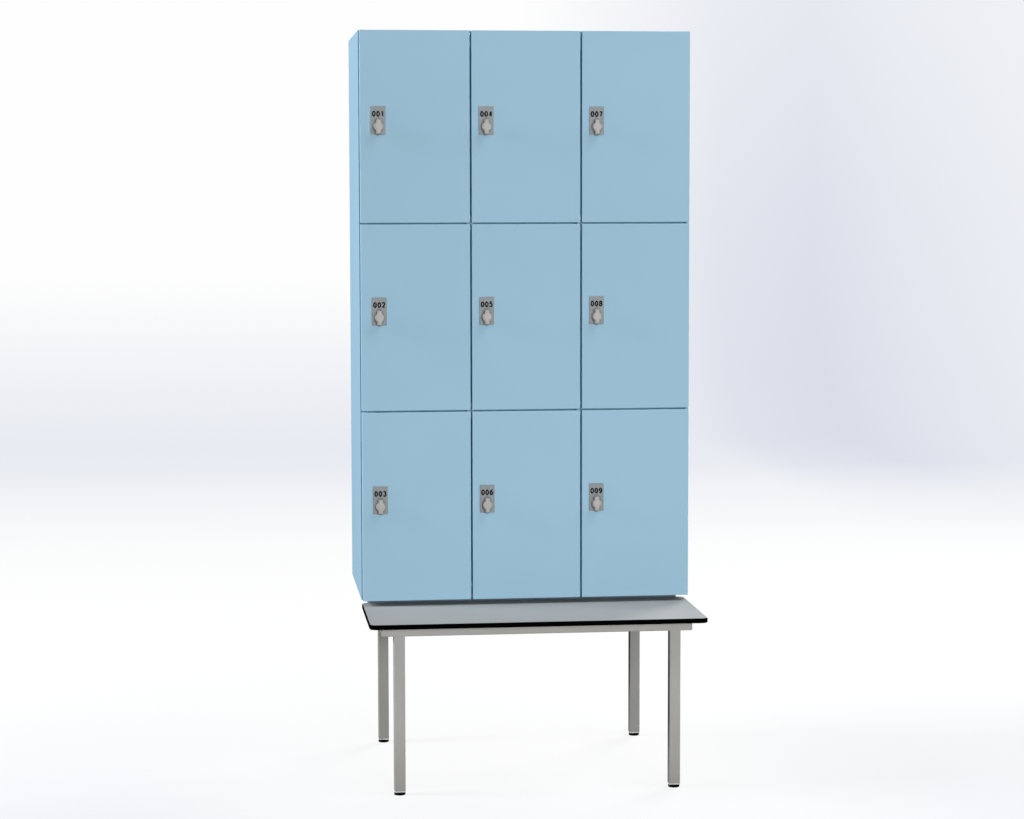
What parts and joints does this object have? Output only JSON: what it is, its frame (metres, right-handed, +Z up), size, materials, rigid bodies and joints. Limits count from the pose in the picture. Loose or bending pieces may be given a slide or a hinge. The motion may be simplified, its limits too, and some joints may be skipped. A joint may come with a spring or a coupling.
{
  "type": "locker with bench",
  "caption": "Changing-room locker: hinged doors with turn locks over compartments, standing on a tube frame that carries a slab bench seat in front.",
  "frame": {"origin": "on the floor, under the middle of the whole footprint, bench included", "axes": "+Z up, +X to the right of someone facing the doors, the doors and the bench face -Y"},
  "size_m": [0.9, 0.801, 2.0175],
  "materials": {
    "laminate": "light blue melamine faces on particle board, fine satin",
    "compact_laminate": "grey compact laminate, matt, black core at the edge",
    "tube": "light grey powder coat, satin",
    "zinc": "satin grey zinc casting",
    "knob": "satin light silver casting",
    "steel": "zinc plated, black passivated",
    "plug": "light grey moulded",
    "rubber": "black, matt"
  },
  "bodies": {
    "cabinet": {"side_panel_left": "laminate", "side_panel_right": "laminate", "partition_left": "laminate", "partition_right": "laminate", "top_panel": "laminate", "bottom_panel": "laminate", "shelf_upper": "laminate", "shelf_lower": "laminate", "back_panel": "laminate", "plinth": "laminate", "bench_seat": "compact_laminate", "bench_frame": "tube", "foot_front_left": "rubber", "foot_front_right": "rubber", "foot_rear_left": "rubber", "foot_rear_right": "rubber", "leg_plug_front_left": "plug", "leg_plug_front_right": "plug", "leg_plug_rear_left": "plug", "leg_plug_rear_right": "plug", "hinge_left_top": "steel", "hinge_left_upper": "steel", "hinge_left_lower": "steel", "hinge_left_bottom": "steel", "hinge_middle_top": "steel", "hinge_middle_upper": "steel", "hinge_middle_lower": "steel", "hinge_middle_bottom": "steel", "hinge_right_top": "steel", "hinge_right_upper": "steel", "hinge_right_lower": "steel", "hinge_right_bottom": "steel"},
    "leaf_1": {"door_1": "laminate", "lock_plate_1": "zinc"},
    "leaf_2": {"door_2": "laminate", "lock_plate_2": "zinc"},
    "leaf_3": {"door_3": "laminate", "lock_plate_3": "zinc"},
    "leaf_4": {"door_4": "laminate", "lock_plate_4": "zinc"},
    "leaf_5": {"door_5": "laminate", "lock_plate_5": "zinc"},
    "leaf_6": {"door_6": "laminate", "lock_plate_6": "zinc"},
    "leaf_7": {"door_7": "laminate", "lock_plate_7": "zinc"},
    "leaf_8": {"door_8": "laminate", "lock_plate_8": "zinc"},
    "leaf_9": {"door_9": "laminate", "lock_plate_9": "zinc"},
    "turn_1": {"knob_1": "knob"},
    "turn_2": {"knob_2": "knob"},
    "turn_3": {"knob_3": "knob"},
    "turn_4": {"knob_4": "knob"},
    "turn_5": {"knob_5": "knob"},
    "turn_6": {"knob_6": "knob"},
    "turn_7": {"knob_7": "knob"},
    "turn_8": {"knob_8": "knob"},
    "turn_9": {"knob_9": "knob"}
  },
  "joints": [
    {"name": "door_1_hinge", "type": "hinge", "parent": "cabinet", "child": "leaf_1", "pos_m": [-0.1585, -0.0915, 1.5037], "axis": [0, 0, 1], "range_deg": [0, 100]},
    {"name": "door_2_hinge", "type": "hinge", "parent": "cabinet", "child": "leaf_2", "pos_m": [-0.1585, -0.0915, 0.9972], "axis": [0, 0, 1], "range_deg": [0, 100]},
    {"name": "door_3_hinge", "type": "hinge", "parent": "cabinet", "child": "leaf_3", "pos_m": [-0.1585, -0.0915, 0.479], "axis": [0, 0, 1], "range_deg": [0, 100]},
    {"name": "door_4_hinge", "type": "hinge", "parent": "cabinet", "child": "leaf_4", "pos_m": [0.1415, -0.0915, 1.5037], "axis": [0, 0, 1], "range_deg": [0, 100]},
    {"name": "door_5_hinge", "type": "hinge", "parent": "cabinet", "child": "leaf_5", "pos_m": [0.1415, -0.0915, 0.9972], "axis": [0, 0, 1], "range_deg": [0, 100]},
    {"name": "door_6_hinge", "type": "hinge", "parent": "cabinet", "child": "leaf_6", "pos_m": [0.1415, -0.0915, 0.479], "axis": [0, 0, 1], "range_deg": [0, 100]},
    {"name": "door_7_hinge", "type": "hinge", "parent": "cabinet", "child": "leaf_7", "pos_m": [0.4415, -0.0915, 1.5037], "axis": [0, 0, 1], "range_deg": [0, 100]},
    {"name": "door_8_hinge", "type": "hinge", "parent": "cabinet", "child": "leaf_8", "pos_m": [0.4415, -0.0915, 0.9972], "axis": [0, 0, 1], "range_deg": [0, 100]},
    {"name": "door_9_hinge", "type": "hinge", "parent": "cabinet", "child": "leaf_9", "pos_m": [0.4415, -0.0915, 0.479], "axis": [0, 0, 1], "range_deg": [0, 100]},
    {"name": "knob_1_turn", "type": "hinge", "parent": "leaf_1", "child": "turn_1", "pos_m": [-0.3985, -0.0995, 1.7605], "axis": [0, 1, 0], "range_deg": [0, 90]},
    {"name": "knob_2_turn", "type": "hinge", "parent": "leaf_2", "child": "turn_2", "pos_m": [-0.3985, -0.0995, 1.24925], "axis": [0, 1, 0], "range_deg": [0, 90]},
    {"name": "knob_3_turn", "type": "hinge", "parent": "leaf_3", "child": "turn_3", "pos_m": [-0.3985, -0.0995, 0.738], "axis": [0, 1, 0], "range_deg": [0, 90]},
    {"name": "knob_4_turn", "type": "hinge", "parent": "leaf_4", "child": "turn_4", "pos_m": [-0.108, -0.0995, 1.7605], "axis": [0, 1, 0], "range_deg": [0, 90]},
    {"name": "knob_5_turn", "type": "hinge", "parent": "leaf_5", "child": "turn_5", "pos_m": [-0.108, -0.0995, 1.24925], "axis": [0, 1, 0], "range_deg": [0, 90]},
    {"name": "knob_6_turn", "type": "hinge", "parent": "leaf_6", "child": "turn_6", "pos_m": [-0.108, -0.0995, 0.738], "axis": [0, 1, 0], "range_deg": [0, 90]},
    {"name": "knob_7_turn", "type": "hinge", "parent": "leaf_7", "child": "turn_7", "pos_m": [0.192, -0.0995, 1.7605], "axis": [0, 1, 0], "range_deg": [0, 90]},
    {"name": "knob_8_turn", "type": "hinge", "parent": "leaf_8", "child": "turn_8", "pos_m": [0.192, -0.0995, 1.24925], "axis": [0, 1, 0], "range_deg": [0, 90]},
    {"name": "knob_9_turn", "type": "hinge", "parent": "leaf_9", "child": "turn_9", "pos_m": [0.192, -0.0995, 0.738], "axis": [0, 1, 0], "range_deg": [0, 90]}
  ]
}
